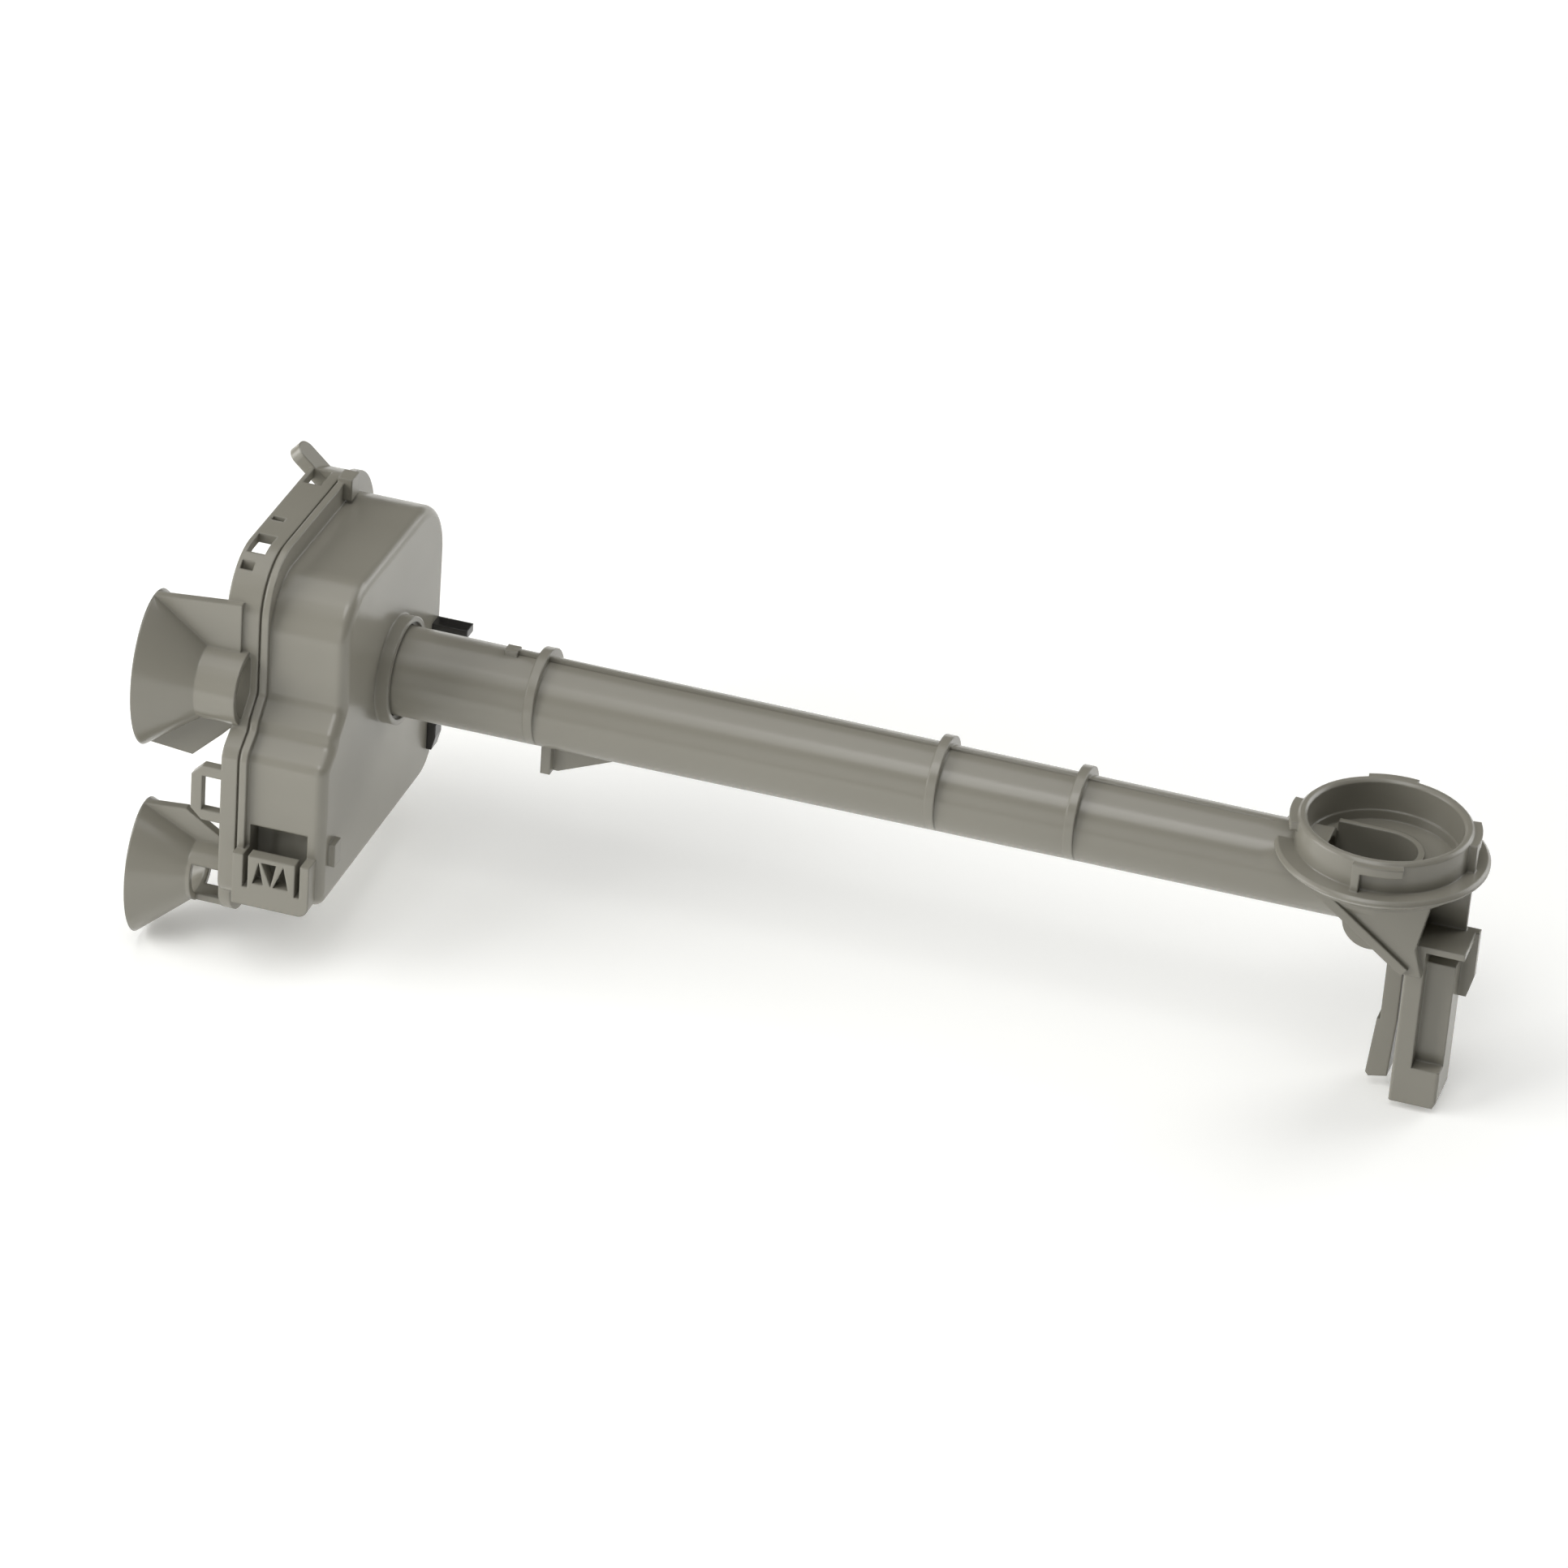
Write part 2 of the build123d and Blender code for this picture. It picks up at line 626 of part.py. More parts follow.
with BuildPart() as docking_cover:
    # Snap skirt with a thinner lip at the parting plane, standing back past the plate at the top only
    skirt_outside = housing_outline(skirt_back, skirt_reach, housing_top)
    extrude(to_extrude=skirt_outside, amount=skirt_depth - groove_width)
    skirt_lip = housing_outline(skirt_back, skirt_reach - groove_depth, housing_top)
    extrude(to_extrude=skirt_lip, amount=skirt_depth)
    skirt_inside = housing_outline(skirt_back, skirt_reach - skirt_wall, housing_top)
    extrude(to_extrude=skirt_inside, amount=skirt_depth, mode=Mode.SUBTRACT)
    box_between(
        skirt_back - cut_margin, plate_x, near_low - cut_margin, half_width + cut_margin,
        housing_bottom - cut_margin, axis_z + skirt_low, Mode.SUBTRACT,
    )
    extrude(to_extrude=housing_outline(plate_x, skirt_reach, housing_top), amount=plate_thickness)
    # Windows of the snap loops on top, and the slits that let the near one flex
    for window_y in window_sides:
        box_between(
            skirt_back + window_bar, skirt_back + window_bar + window_length,
            window_y, window_y + window_width,
            housing_top - 2 * cut_margin, housing_top + cut_margin, Mode.SUBTRACT,
        )
    for slit_y in flex_slits:
        box_between(
            skirt_back + window_bar, plate_x, slit_y, slit_y + flex_slit_width,
            housing_top - 2 * cut_margin, housing_top + cut_margin, Mode.SUBTRACT,
        )
    # Finger paddle leaning back over the top
    lean = math.radians(paddle_lean)
    paddle_plane = Plane(
        origin=(skirt_back + paddle_thickness / 2, paddle_side, housing_top - paddle_drop),
        x_dir=(0, 1, 0), z_dir=(math.cos(lean), 0, math.sin(lean)),
    )
    with BuildSketch(paddle_plane):
        with Locations((0, paddle_length / 2)):
            SlotOverall(paddle_length, paddle_width, rotation=90)
        with Locations((0, paddle_length / 4 - paddle_root / 2)):
            Rectangle(paddle_width, paddle_length / 2 + paddle_root)
    extrude(amount=paddle_thickness / 2, both=True)
    # Side snap loop on the near wall
    loop_high = axis_z - loop_top
    loop_low = loop_high - loop_height
    with BuildSketch(Plane.XZ.offset(skirt_reach - near_low)):
        Polygon(
            (plate_front, loop_high),
            (loop_back + loop_corner, loop_high),
            (loop_back, loop_high - loop_corner),
            (loop_back, loop_low + loop_corner),
            (loop_back + loop_corner, loop_low),
            (plate_front, loop_low),
            align=None,
        )
        with Locations(((loop_back + loop_bar + plate_x) / 2, (loop_high + loop_low) / 2)):
            Rectangle(plate_x - loop_back - loop_bar, loop_height - 2 * loop_bar, mode=Mode.SUBTRACT)
    extrude(amount=-skirt_wall)
    # Stiffening ribs on the plate's back, and the tab that carries the lower neck
    for rib_y in back_rib_sides:
        box_between(
            plate_x - back_rib_height, plate_x, rib_y, rib_y + back_rib_thickness,
            housing_bottom + shell_wall, housing_top - shell_wall,
        )
    box_between(
        plate_x, plate_front, port_side - lower_neck, port_side + lower_neck,
        lower_port, housing_bottom + lower_neck,
    )
    # Funnels: round neck, cone to an oval rim, fins above and below
    for rim_x, rim_z, port_z, rim_half_width, rim_half_height, bore, seat in funnels:
        with BuildSketch(Plane.YZ.offset(rim_x + cone_length)):
            with Locations((port_side, port_z)):
                Circle(bore + neck_wall)
        extrude(amount=neck_front - rim_x - cone_length)
        with BuildSketch(Plane.YZ.offset(rim_x)):
            with Locations((port_side, rim_z)):
                Ellipse(rim_half_width, rim_half_height)
        with BuildSketch(Plane.YZ.offset(rim_x + cone_length)):
            with Locations((port_side, port_z)):
                Circle(bore + neck_wall)
        loft(ruled=True)
    with BuildSketch(Plane.XZ.offset(-port_side - fin_thickness / 2)):
        Polygon(
            (upper_rim_x, upper_port + upper_rim_half_height),
            (plate_x, upper_port + upper_rim_half_height + fin_rise),
            (plate_x, upper_port),
            (upper_rim_x + cone_length, upper_port),
            align=None,
        )
        Polygon(
            (upper_rim_x, upper_port - upper_rim_half_height),
            (upper_rim_x + cone_length, upper_port),
            (plate_x, upper_port),
            (plate_x, upper_port - upper_neck),
            (upper_rim_x + cone_length + fin_knee, upper_port - upper_neck - fin_knee),
            (upper_rim_x + cone_length - fin_lead, upper_port - upper_rim_half_height - fin_lip),
            align=None,
        )
        Polygon(
            (lower_rim_x, lower_rim_z + lower_rim_half_height),
            (lower_rim_x + cone_length - fin_lead, lower_rim_z + lower_rim_half_height + fin_lip),
            (plate_x, lower_port + lower_neck),
            (plate_x, lower_port),
            (lower_rim_x + cone_length, lower_port),
            align=None,
        )
    extrude(amount=fin_thickness)
    for rim_x, rim_z, port_z, rim_half_width, rim_half_height, bore, seat in funnels:
        with BuildSketch(Plane.YZ.offset(rim_x)):
            with Locations((port_side, rim_z)):
                Ellipse(rim_half_width - cone_wall, rim_half_height - cone_wall)
        with BuildSketch(Plane.YZ.offset(rim_x + cone_length)):
            with Locations((port_side, port_z)):
                Circle(bore)
        loft(ruled=True, mode=Mode.SUBTRACT)
        with BuildSketch(Plane.YZ.offset(rim_x + cone_length)):
            with Locations((port_side, port_z)):
                Circle(bore)
        extrude(amount=plate_front - lower_seat_length - rim_x - cone_length, mode=Mode.SUBTRACT)
        with BuildSketch(Plane.YZ.offset(plate_front - lower_seat_length)):
            with Locations((port_side, port_z)):
                Circle(seat)
        extrude(amount=lower_seat_length, mode=Mode.SUBTRACT)
    # Side windows of the lower neck, down to a strap at its bottom
    box_between(
        lower_rim_x + cone_length + side_window_end, plate_x - side_window_end,
        port_side - 2 * lower_neck, port_side + 2 * lower_neck,
        lower_port - side_window_half, lower_port + side_window_half, Mode.SUBTRACT,
    )
    for side in (-1, 1):
        with Locations((
            (lower_rim_x + cone_length + plate_x) / 2,
            port_side + side * (strap_half_width + lower_neck / 2),
            lower_port - lower_neck / 2,
        )):
            Box(
                plate_x - lower_rim_x - cone_length - 2 * side_window_end, lower_neck, lower_neck,
                mode=Mode.SUBTRACT,
            )
    # Bearing ears of the diverter flap
    for ear_y in ear_sides:
        box_between(
            plate_x, pivot_x + pivot_radius + ear_wall, ear_y, ear_y + ear_thickness,
            pivot_z - pivot_radius - ear_wall, pivot_z + pivot_radius + ear_wall,
        )
    with BuildSketch(Plane.XZ.offset(-ear_sides[0])):
        with Locations((pivot_x, pivot_z)):
            Circle(pivot_radius + pivot_fit)
    extrude(amount=ear_sides[0] - ear_sides[1] - ear_thickness, mode=Mode.SUBTRACT)
docking_cover.part.label = "docking_cover"
export_step(docking_cover.part, "parts/docking_cover.step")

with BuildPart() as diverter_flap:
    box_between(
        pivot_x - flap_thickness / 2, pivot_x + flap_thickness / 2, flap_near, flap_far,
        pivot_z - flap_lower, pivot_z + flap_upper,
    )
    with BuildSketch(Plane.XZ.offset(-ear_sides[0])):
        with Locations((pivot_x, pivot_z)):
            Circle(pivot_radius)
    extrude(amount=ear_sides[0] - ear_sides[1] - ear_thickness)
diverter_flap.part.label = "diverter_flap"
export_step(diverter_flap.part, "parts/diverter_flap.step")
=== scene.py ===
"""Finishes, moulded details and studio for a dishwasher spray arm feed tube."""

import json
import math

import bmesh
import bpy
from mathutils import Matrix, Vector
from mathutils.bvhtree import BVHTree


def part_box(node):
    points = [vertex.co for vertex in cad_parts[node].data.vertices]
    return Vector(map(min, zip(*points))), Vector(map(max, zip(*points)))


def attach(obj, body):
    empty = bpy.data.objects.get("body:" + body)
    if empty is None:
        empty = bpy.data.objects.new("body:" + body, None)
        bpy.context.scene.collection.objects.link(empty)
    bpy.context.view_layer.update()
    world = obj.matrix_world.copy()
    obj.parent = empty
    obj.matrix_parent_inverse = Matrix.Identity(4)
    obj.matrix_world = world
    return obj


bl_info = {
    "name": "Feed tube studio",
    "version": (1, 0, 0),
    "blender": (4, 5, 0),
    "location": "View3D > Sidebar > Feed tube",
    "description": "Dresses the moulded feed tube of a dishwasher spray arm and sets its studio",
    "category": "Object",
}

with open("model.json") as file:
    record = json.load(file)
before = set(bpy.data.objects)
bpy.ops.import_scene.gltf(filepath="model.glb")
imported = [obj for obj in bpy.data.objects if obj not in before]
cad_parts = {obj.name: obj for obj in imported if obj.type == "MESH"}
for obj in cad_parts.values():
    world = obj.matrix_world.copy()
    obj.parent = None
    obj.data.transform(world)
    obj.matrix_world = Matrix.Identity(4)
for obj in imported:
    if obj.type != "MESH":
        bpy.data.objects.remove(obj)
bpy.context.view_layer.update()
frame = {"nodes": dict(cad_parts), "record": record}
MM = 0.001
BODY = "manifold"
MOUNTS = {mount["name"]: Vector(mount["pos_m"]) for mount in frame["record"]["mounts"]}
FOOT_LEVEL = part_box("feed_tube")[0][2]
FUNNEL_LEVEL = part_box("docking_cover")[0][2]
FUNNEL_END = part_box("docking_cover")[0][0]

# Surface of the plastic: typical index for polypropylene, the rest matched to the photograph
PLASTIC_IOR = 1.49
PLASTIC_SPECULAR = 0.6
ROUGHNESS_SPREAD = 0.03
FLOW_STRETCH = (0.35, 1, 1)
FLOW_DETAIL = 2
FLOW_ROUGHNESS = 0.45
FLOW_LOW = 0.2
FLOW_HIGH = 0.8
GRAIN_DETAIL = 2
GRAIN_ROUGHNESS = 0.6
GRAIN_STRENGTH = 0.12
EDGE_SAMPLES = 6
PAPER_ROUGHNESS = 0.9
PAPER_SPECULAR = 0.1

# Round marks of the moulding tool
STUD_SEGMENTS = 32
STUD_TAPER = 0.95

# Studio: the point that the lamps face, then name, place, side and power setting of each lamp
SHEET_SEGMENTS = 8
SENSOR_WIDTH = 36
VIEW_END = 50
LAMP_AIM = Vector((-0.12, 0, -0.02))
SOFTBOXES = (
    ("top_softbox", Vector((-0.12, 0.05, 1.5)), 1.6, "top_power"),
    ("key_softbox", Vector((-0.2, -0.78, 1.3)), 0.7, "key_power"),
    ("side_softbox", Vector((-1.0, -0.45, 0.35)), 0.8, "side_power"),
    ("front_softbox", Vector((-0.25, -1.35, 0.25)), 0.7, "front_power"),
    ("back_softbox", Vector((0.75, 0.9, 0.6)), 0.9, "back_power"),
)


def surface_hit(name, start, direction):
    """First point of a CAD node's surface along a direction."""
    mesh = frame["nodes"][name].data
    corners = [vertex.co for vertex in mesh.vertices]
    tree = BVHTree.FromPolygons(corners, [tuple(face.vertices) for face in mesh.polygons])
    point = tree.ray_cast(start, direction)[0]
    if point is None:
        raise RuntimeError(f"no surface of {name} at {tuple(start)}")
    return point


def tube_axis():
    """Level of the tube's axis, half way between its top and bottom at a plain stretch."""
    low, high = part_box("feed_tube")
    middle = (low[0] + high[0]) / 2
    top = surface_hit("feed_tube", Vector((middle, 0, high[2])), Vector((0, 0, -1)))
    bottom = surface_hit("feed_tube", Vector((middle, 0, low[2])), Vector((0, 0, 1)))
    return (top.z + bottom.z) / 2


TUBE_AXIS = tube_axis()


def linear(hex_colour):
    """An sRGB hex value as a linear colour."""
    parts = [int(hex_colour[i:i + 2], 16) / 255 for i in (0, 2, 4)]
    return tuple(p / 12.92 if p <= 0.04045 else ((p + 0.055) / 1.055) ** 2.4 for p in parts)


class PlasticFinish(bpy.types.PropertyGroup):
    """Colours and surface of the moulded plastic."""

    colour: bpy.props.FloatVectorProperty(
        name="Colour", description="Grey beige of the mouldings",
        subtype="COLOR", size=3, min=0, max=1, default=linear("8C897E"))
    shade: bpy.props.FloatVectorProperty(
        name="Shade", description="Darker tone of the flow marks",
        subtype="COLOR", size=3, min=0, max=1, default=linear("858277"))
    # Painted shade: the clip's near black stands for the deep shade at the housing's far edge
    clip_painted_shade_colour: bpy.props.FloatVectorProperty(
        name="Clip colour", description="Black of the wire clip",
        subtype="COLOR", size=3, min=0, max=1, default=linear("2B2A28"))
    flap_colour: bpy.props.FloatVectorProperty(
        name="Flap colour", description="Grey of the hidden flap",
        subtype="COLOR", size=3, min=0, max=1, default=linear("8A887F"))
    roughness: bpy.props.FloatProperty(
        name="Roughness", description="Middle roughness of the fine moulded grain", min=0, max=1,
        default=0.25)
    flow_size: bpy.props.FloatProperty(
        name="Flow mark size", description="Width of the cloudy flow marks", unit="LENGTH",
        default=22 * MM)
    grain_size: bpy.props.FloatProperty(
        name="Grain size", description="Spacing of the tool's grain", unit="LENGTH",
        default=0.45 * MM)
    grain_depth: bpy.props.FloatProperty(
        name="Grain depth", description="Depth of the tool's grain", unit="LENGTH",
        default=0.02 * MM)
    edge_round: bpy.props.FloatProperty(
        name="Edge round", description="Softening of the moulded edges", unit="LENGTH",
        default=0.6 * MM)


class MouldMarks(bpy.types.PropertyGroup):
    """Small marks that the moulding tool leaves."""

    seam_width: bpy.props.FloatProperty(
        name="Seam width", description="Width of the parting seam", unit="LENGTH", default=0.4 * MM)
    seam_rise: bpy.props.FloatProperty(
        name="Seam rise", description="Height of the parting seam", unit="LENGTH",
        default=0.05 * MM)
    seam_margin: bpy.props.FloatProperty(
        name="Seam margin", description="Plain length at each end of the tube", unit="LENGTH",
        default=24 * MM)
    gate_radius: bpy.props.FloatProperty(
        name="Gate radius", description="Radius of the broken gate", unit="LENGTH",
        default=1.3 * MM)
    gate_rise: bpy.props.FloatProperty(
        name="Gate rise", description="Height of the broken gate", unit="LENGTH", default=0.4 * MM)
    pin_radius: bpy.props.FloatProperty(
        name="Pin radius", description="Radius of an ejector pin's mark", unit="LENGTH",
        default=2.5 * MM)
    pin_rise: bpy.props.FloatProperty(
        name="Pin rise", description="Height of an ejector pin's mark", unit="LENGTH",
        default=0.2 * MM)
    root: bpy.props.FloatProperty(
        name="Root", description="Depth of the marks in the wall", unit="LENGTH", default=1.3 * MM)
    pin_lanes: bpy.props.FloatVectorProperty(
        name="Pin lanes",
        description="Distances of the marks from the cover's far wall, between its ribs",
        unit="LENGTH", size=3, default=(5 * MM, 18 * MM, 32 * MM))
    pin_top: bpy.props.FloatProperty(
        name="Upper row", description="Drop of the upper row below the top", unit="LENGTH",
        default=16 * MM)
    pin_bottom: bpy.props.FloatProperty(
        name="Lower row", description="Rise of the lower row above the bottom", unit="LENGTH",
        default=14 * MM)


class StudioSetup(bpy.types.PropertyGroup):
    """Camera, lights and floor."""

    camera_place: bpy.props.FloatVectorProperty(
        name="Camera", description="Camera position", subtype="TRANSLATION", unit="LENGTH", size=3,
        default=(0.234417, -1.323273, 0.772727))
    camera_turn: bpy.props.FloatProperty(
        name="Azimuth", description="Camera azimuth", unit="ROTATION",
        default=math.radians(15.4846))
    camera_drop: bpy.props.FloatProperty(
        name="Elevation", description="Camera elevation", unit="ROTATION",
        default=math.radians(29.8747))
    camera_roll: bpy.props.FloatProperty(
        name="Roll", description="Camera roll", unit="ROTATION", default=math.radians(4.4383))
    lens: bpy.props.FloatProperty(
        name="Lens", description="Focal length in millimetres", default=167.71)
    floor_size: bpy.props.FloatProperty(
        name="Floor size", description="Side of the floor sheet", unit="LENGTH", default=9.0)
    floor_colour: bpy.props.FloatVectorProperty(
        name="Floor colour", description="White of the floor sheet",
        subtype="COLOR", size=3, min=0, max=1, default=linear("F7F7F4"))
    floor_glow: bpy.props.FloatProperty(
        name="Floor glow", description="Light that the sheet passes from below at the part", min=0,
        default=0.22)
    far_glow: bpy.props.FloatProperty(
        name="Far glow", description="Light that the sheet passes far from the part", min=0,
        default=1.0)
    glow_start: bpy.props.FloatProperty(
        name="Glow start", description="Distance where the glow begins to rise", unit="LENGTH",
        default=0.4)
    glow_end: bpy.props.FloatProperty(
        name="Glow end", description="Distance where the glow is full", unit="LENGTH", default=1.1)
    floor_gap: bpy.props.FloatProperty(
        name="Floor gap", description="Drop of the sheet below the resting points", unit="LENGTH",
        default=1 * MM)
    top_power: bpy.props.FloatProperty(
        name="Top", description="Watts of the overhead softbox", min=0, default=10.5)
    key_power: bpy.props.FloatProperty(
        name="Key", description="Watts of the softbox above the camera's left", min=0, default=5.0)
    side_power: bpy.props.FloatProperty(
        name="Side", description="Watts of the low softbox beyond the funnels", min=0, default=9.0)
    front_power: bpy.props.FloatProperty(
        name="Front", description="Watts of the low softbox in front", min=0, default=1.5)
    back_power: bpy.props.FloatProperty(
        name="Back", description="Watts of the softbox behind on the right", min=0, default=8.0)


def add_node(tree, kind, inputs=None, **settings):
    """Adds a node, sets its properties, and sets or links its inputs."""
    node = tree.nodes.new(kind)
    for name, value in settings.items():
        setattr(node, name, value)
    for name, value in (inputs or {}).items():
        if isinstance(value, bpy.types.NodeSocket):
            tree.links.new(value, node.inputs[name])
        else:
            node.inputs[name].default_value = value
    return node


def moulded_plastic(name, colour, shade, finish):
    """Satin plastic from a grained tool: soft sheen, cloudy flow marks, fine grain, soft edges."""
    material = bpy.data.materials.new(name)
    material.use_nodes = True
    tree = material.node_tree
    tree.nodes.clear()
    place = add_node(tree, "ShaderNodeTexCoord").outputs["Object"]
    # Flow marks are stretched along the tube, the way the melt ran
    stretched = add_node(tree, "ShaderNodeMapping", {
        "Vector": place, "Scale": FLOW_STRETCH}).outputs["Vector"]
    flow = add_node(tree, "ShaderNodeTexNoise", {
        "Vector": stretched, "Scale": 1 / finish.flow_size, "Detail": FLOW_DETAIL,
        "Roughness": FLOW_ROUGHNESS}).outputs["Fac"]
    clouds = add_node(tree, "ShaderNodeMapRange", {
        "Value": flow, "From Min": FLOW_LOW, "From Max": FLOW_HIGH}).outputs["Result"]
    tone = add_node(tree, "ShaderNodeMix", data_type="RGBA")
    tree.links.new(clouds, tone.inputs["Factor"])
    tone.inputs["A"].default_value = (*colour, 1)
    tone.inputs["B"].default_value = (*shade, 1)
    # The grain is drawn a little coarser than the tool's, so that it shows
    grain = add_node(tree, "ShaderNodeTexNoise", {
        "Vector": place, "Scale": 1 / finish.grain_size, "Detail": GRAIN_DETAIL,
        "Roughness": GRAIN_ROUGHNESS}).outputs["Fac"]
    rough = add_node(tree, "ShaderNodeMapRange", {
        "Value": flow, "From Min": FLOW_LOW, "From Max": FLOW_HIGH,
        "To Min": finish.roughness - ROUGHNESS_SPREAD,
        "To Max": finish.roughness + ROUGHNESS_SPREAD}).outputs["Result"]
    soft = add_node(tree, "ShaderNodeBevel", {
        "Radius": finish.edge_round}, samples=EDGE_SAMPLES).outputs["Normal"]
    bump = add_node(tree, "ShaderNodeBump", {
        "Height": grain, "Strength": GRAIN_STRENGTH, "Distance": finish.grain_depth,
        "Normal": soft}).outputs["Normal"]
    shader = add_node(tree, "ShaderNodeBsdfPrincipled", {
        "Base Color": tone.outputs["Result"], "Roughness": rough, "IOR": PLASTIC_IOR,
        "Specular IOR Level": PLASTIC_SPECULAR, "Normal": bump})
    add_node(tree, "ShaderNodeOutputMaterial", {"Surface": shader.outputs["BSDF"]})
    return material


def white_sheet(studio):
    """Seamless white paper on a light table, which keeps its white away from the lamps."""
    material = bpy.data.materials.new("white_paper_sheet")
    material.use_nodes = True
    tree = material.node_tree
    place = add_node(tree, "ShaderNodeTexCoord").outputs["Object"]
    distance = add_node(tree, "ShaderNodeVectorMath", {
        0: place}, operation="LENGTH").outputs["Value"]
    glow = add_node(tree, "ShaderNodeMapRange", {
        "Value": distance, "From Min": studio.glow_start, "From Max": studio.glow_end,
        "To Min": studio.floor_glow, "To Max": studio.far_glow}).outputs["Result"]
    shader = tree.nodes["Principled BSDF"]
    shader.inputs["Base Color"].default_value = (*studio.floor_colour, 1)
    shader.inputs["Roughness"].default_value = PAPER_ROUGHNESS
    shader.inputs["Specular IOR Level"].default_value = PAPER_SPECULAR
    shader.inputs["Emission Color"].default_value = (1, 1, 1, 1)
    tree.links.new(glow, shader.inputs["Emission Strength"])
    return material


def camera_axes(studio):
    """Right, up and forward of the camera."""
    turn, drop, roll = studio.camera_turn, studio.camera_drop, studio.camera_roll
    level = Vector((math.cos(turn), math.sin(turn), 0))
    forward = Vector((
        -math.sin(turn) * math.cos(drop), math.cos(turn) * math.cos(drop), -math.sin(drop)))
    upright = level.cross(forward)
    right = level * math.cos(roll) + upright * math.sin(roll)
    return right, right.cross(forward), forward


def stud(bm, name, start, direction, radius, rise, root):
    """Adds a round mark to a bmesh, standing on a CAD node's surface and rooted in its wall."""
    hit = surface_hit(name, start, direction)
    turn = Vector((0, 0, -1)).rotation_difference(direction).to_matrix().to_4x4()
    place = Matrix.Translation(hit + direction * (root - rise) / 2) @ turn
    bmesh.ops.create_cone(
        bm, cap_ends=True, segments=STUD_SEGMENTS, radius1=radius, radius2=radius * STUD_TAPER,
        depth=rise + root, matrix=place)


def finish_piece(name, bm):
    """Makes a mesh an object in the mouldings' plastic that moves with the manifold."""
    mesh = bpy.data.meshes.new(name)
    bm.to_mesh(mesh)
    bm.free()
    # The frame has a material of the same name, so the plastic is taken from the dressed tube
    mesh.materials.append(frame["nodes"]["feed_tube"].data.materials[0])
    piece = bpy.data.objects.new(name, mesh)
    bpy.context.scene.collection.objects.link(piece)
    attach(piece, BODY)


class FEEDTUBE_OT_mouldings(bpy.types.Operator):
    """Give each moulding its plastic"""

    bl_idname = "feed_tube.mouldings"
    bl_label = "Mouldings"

    def execute(self, context):
        finish = context.scene.feed_tube_finish
        flap, clip = finish.flap_colour, finish.clip_painted_shade_colour
        plastic = moulded_plastic("moulded_polypropylene", finish.colour, finish.shade, finish)
        # Acetal from the same kind of tool: the same sheen in one even tone, grey for the flap; the
        # clip's near black is painted shade for the deep shade at the housing's far edge
        special = {
            "diverter_flap": moulded_plastic("acetal_flap", flap, flap, finish),
            "wire_clip": moulded_plastic("black_acetal", clip, clip, finish),
        }
        for name, node in frame["nodes"].items():
            node.data.materials.clear()
            node.data.materials.append(special.get(name, plastic))
        return {"FINISHED"}


class FEEDTUBE_OT_seams(bpy.types.Operator):
    """Lay the parting seam along the tube's top and bottom, and the gate on its far side"""

    bl_idname = "feed_tube.seams"
    bl_label = "Seams and gate"

    def execute(self, context):
        marks = context.scene.feed_tube_marks
        low, high = (Vector(corner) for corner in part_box("feed_tube"))
        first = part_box("housing_shell")[1][0] + marks.seam_margin
        last = MOUNTS["arm_socket"].x - marks.seam_margin
        bm = bmesh.new()
        for level, direction in ((high.z, Vector((0, 0, -1))), (low.z, Vector((0, 0, 1)))):
            begin = surface_hit("feed_tube", Vector((first, 0, level)), direction)
            end = surface_hit("feed_tube", Vector((last, 0, level)), direction)
            run = end - begin
            turn = Vector((1, 0, 0)).rotation_difference(run).to_matrix().to_4x4()
            size = Matrix.Diagonal((run.length, marks.seam_width, marks.seam_rise + marks.root, 1))
            middle = (begin + end + direction * (marks.root - marks.seam_rise)) / 2
            place = Matrix.Translation(middle) @ turn @ size
            bmesh.ops.create_cube(bm, size=1, matrix=place)
        finish_piece("parting_seam", bm)
        bm = bmesh.new()
        start = Vector(((first + last) / 2, high.y, TUBE_AXIS))
        stud(
            bm, "feed_tube", start, Vector((0, -1, 0)), marks.gate_radius, marks.gate_rise,
            marks.root)
        finish_piece("gate_mark", bm)
        return {"FINISHED"}


class FEEDTUBE_OT_ejector_marks(bpy.types.Operator):
    """Set the ejector pins' marks on the cover's back, between its ribs"""

    bl_idname = "feed_tube.ejector_marks"
    bl_label = "Ejector marks"

    def execute(self, context):
        marks = context.scene.feed_tube_marks
        low, high = (Vector(corner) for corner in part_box("housing_shell"))
        bm = bmesh.new()
        for lane in marks.pin_lanes:
            for level in (high.z - marks.pin_top, low.z + marks.pin_bottom):
                start = Vector((FUNNEL_END, high.y - lane, level))
                stud(
                    bm, "docking_cover", start, Vector((1, 0, 0)), marks.pin_radius, marks.pin_rise,
                    marks.root)
        finish_piece("ejector_marks", bm)
        return {"FINISHED"}


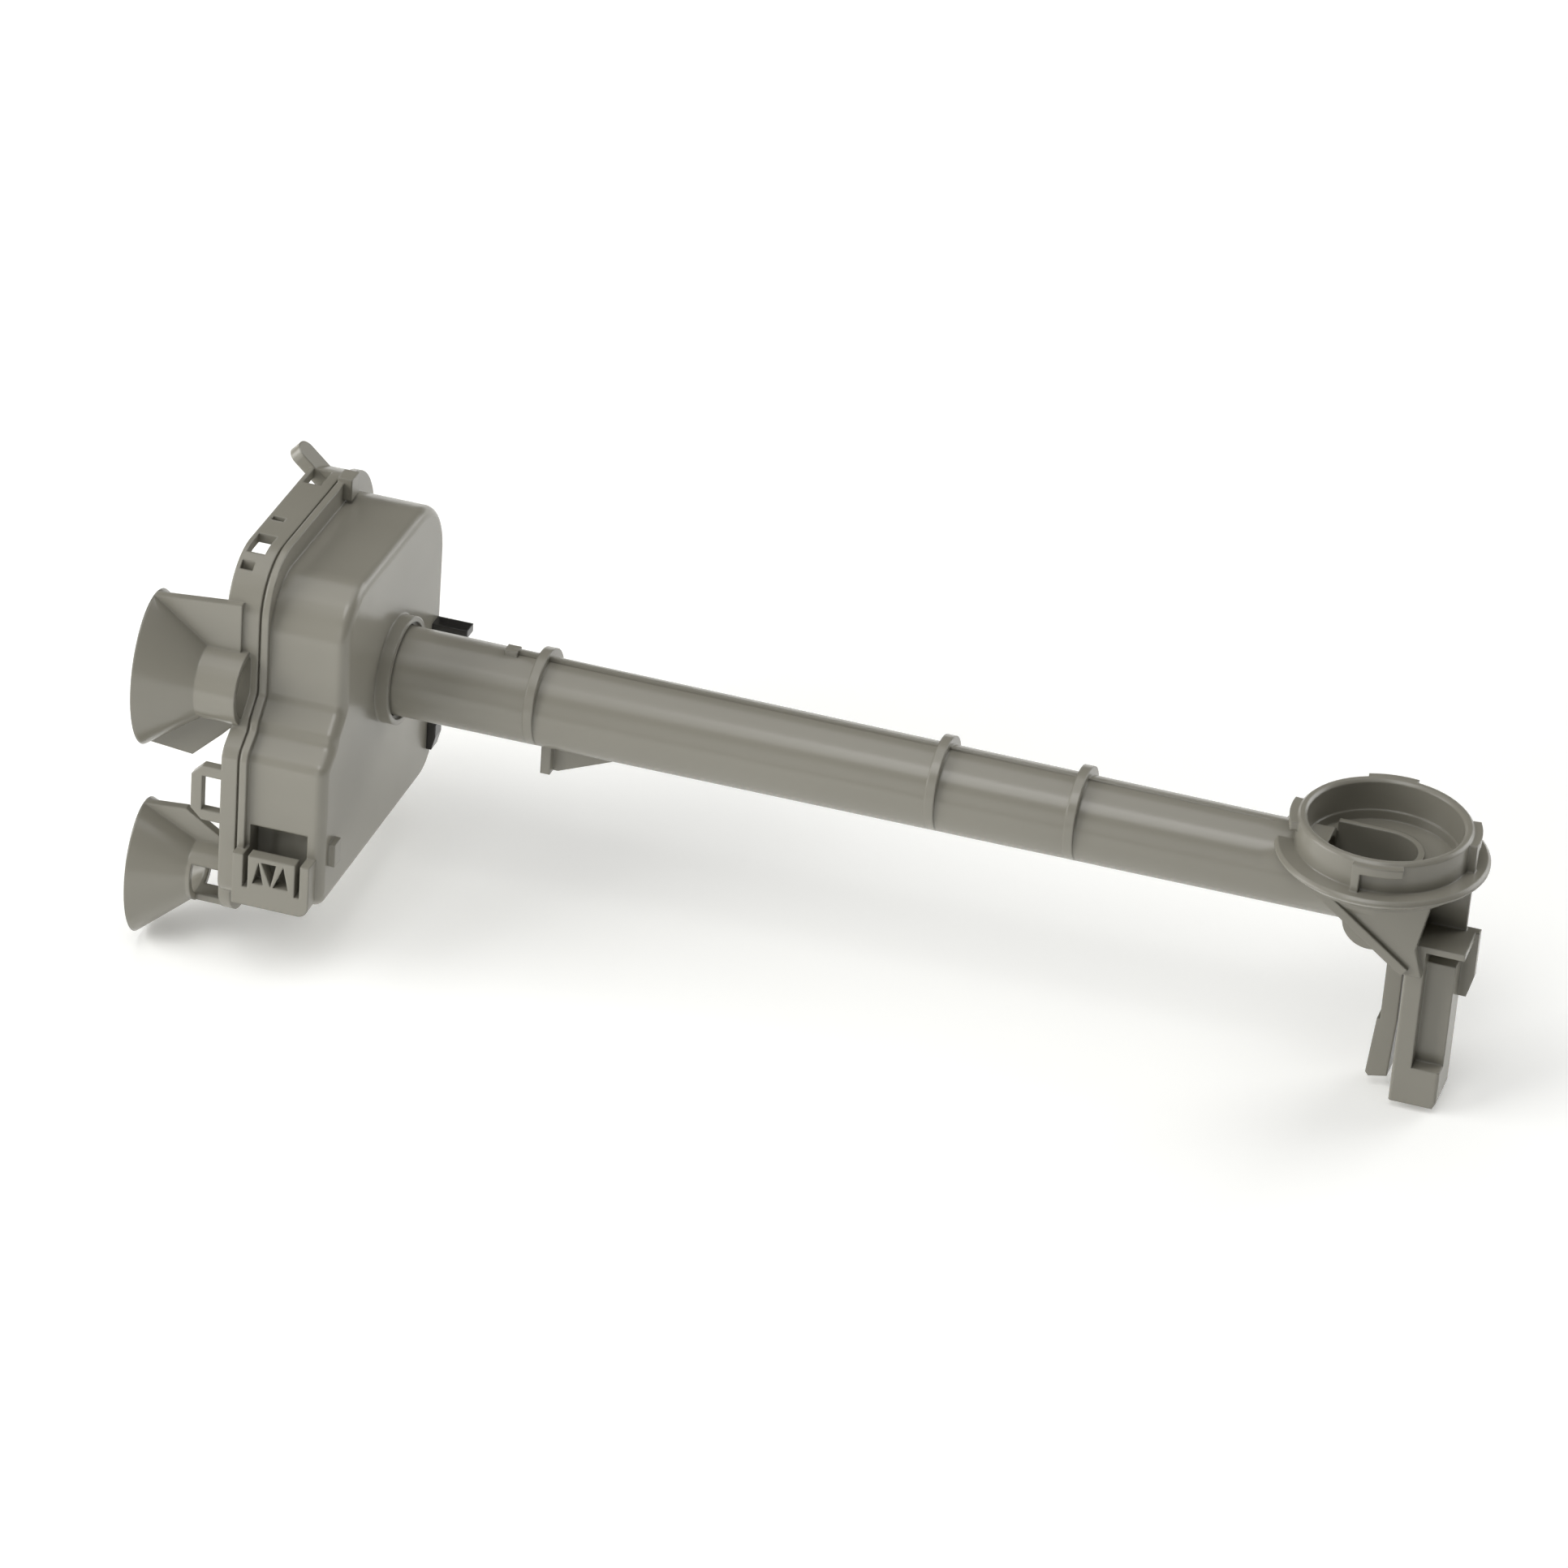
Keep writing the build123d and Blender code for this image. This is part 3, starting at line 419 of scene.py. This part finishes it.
class FEEDTUBE_OT_stage(bpy.types.Operator):
    """Set the floor, the lights and the camera"""

    bl_idname = "feed_tube.stage"
    bl_label = "Studio"

    def execute(self, context):
        studio = context.scene.feed_tube_studio
        scene = context.scene
        right, up, forward = camera_axes(studio)
        self.floor(studio, right)
        self.lights(scene, studio)
        self.camera(scene, studio, right, up, forward)
        return {"FINISHED"}

    def floor(self, studio, right):
        # The sheet passes under the foot and the lower funnel, level across the picture
        foot = Vector((MOUNTS["rack_clip"].x, 0, FOOT_LEVEL))
        funnel = Vector((FUNNEL_END, MOUNTS["lower_dock"].y, FUNNEL_LEVEL))
        normal = (foot - funnel).cross(right).normalized()
        normal = normal if normal.z > 0 else -normal
        tilt = Vector((0, 0, 1)).rotation_difference(normal).to_matrix().to_4x4()
        bm = bmesh.new()
        bmesh.ops.create_grid(
            bm, x_segments=SHEET_SEGMENTS, y_segments=SHEET_SEGMENTS, size=studio.floor_size / 2)
        place = Matrix.Translation(foot - normal * studio.floor_gap) @ tilt
        bmesh.ops.transform(bm, matrix=place, verts=bm.verts)
        mesh = bpy.data.meshes.new("paper_sheet")
        bm.to_mesh(mesh)
        bm.free()
        mesh.materials.append(white_sheet(studio))
        sheet = bpy.data.objects.new("paper_sheet", mesh)
        bpy.context.scene.collection.objects.link(sheet)

    def lights(self, scene, studio):
        world = bpy.data.worlds.new("dark_studio")
        world.use_nodes = True
        world.node_tree.nodes["Background"].inputs["Color"].default_value = (0, 0, 0, 1)
        scene.world = world
        scene.view_settings.view_transform = "Standard"
        for name, place, size, power in SOFTBOXES:
            lamp = bpy.data.lights.new(name, "AREA")
            lamp.shape = "SQUARE"
            lamp.size = size
            lamp.energy = getattr(studio, power)
            holder = bpy.data.objects.new(name, lamp)
            holder.location = place
            holder.rotation_euler = (LAMP_AIM - place).to_track_quat("-Z", "Y").to_euler()
            scene.collection.objects.link(holder)

    def camera(self, scene, studio, right, up, forward):
        data = bpy.data.cameras.new("photo_camera")
        data.sensor_fit = "HORIZONTAL"
        data.sensor_width = SENSOR_WIDTH
        data.lens = studio.lens
        data.clip_end = VIEW_END
        camera = bpy.data.objects.new("photo_camera", data)
        turn = Matrix((right, up, -forward)).transposed().to_4x4()
        camera.matrix_world = Matrix.Translation(Vector(studio.camera_place)) @ turn
        scene.collection.objects.link(camera)
        scene.camera = camera


class FEEDTUBE_PT_panel(bpy.types.Panel):
    """Steps that dress the feed tube"""

    bl_idname = "FEEDTUBE_PT_panel"
    bl_label = "Feed tube"
    bl_space_type = "VIEW_3D"
    bl_region_type = "UI"
    bl_category = "Feed tube"

    def draw(self, context):
        for operator in OPERATORS:
            self.layout.operator(operator.bl_idname)


OPERATORS = (FEEDTUBE_OT_mouldings, FEEDTUBE_OT_seams, FEEDTUBE_OT_ejector_marks, FEEDTUBE_OT_stage)
CLASSES = (PlasticFinish, MouldMarks, StudioSetup, *OPERATORS, FEEDTUBE_PT_panel)


def register():
    for item in CLASSES:
        bpy.utils.register_class(item)
    bpy.types.Scene.feed_tube_finish = bpy.props.PointerProperty(type=PlasticFinish)
    bpy.types.Scene.feed_tube_marks = bpy.props.PointerProperty(type=MouldMarks)
    bpy.types.Scene.feed_tube_studio = bpy.props.PointerProperty(type=StudioSetup)


def unregister():
    del bpy.types.Scene.feed_tube_studio
    del bpy.types.Scene.feed_tube_marks
    del bpy.types.Scene.feed_tube_finish
    for item in reversed(CLASSES):
        bpy.utils.unregister_class(item)


def main():
    register()
    bpy.ops.feed_tube.mouldings()
    bpy.ops.feed_tube.seams()
    bpy.ops.feed_tube.ejector_marks()
    bpy.ops.feed_tube.stage()


if __name__ == "__main__":
    main()
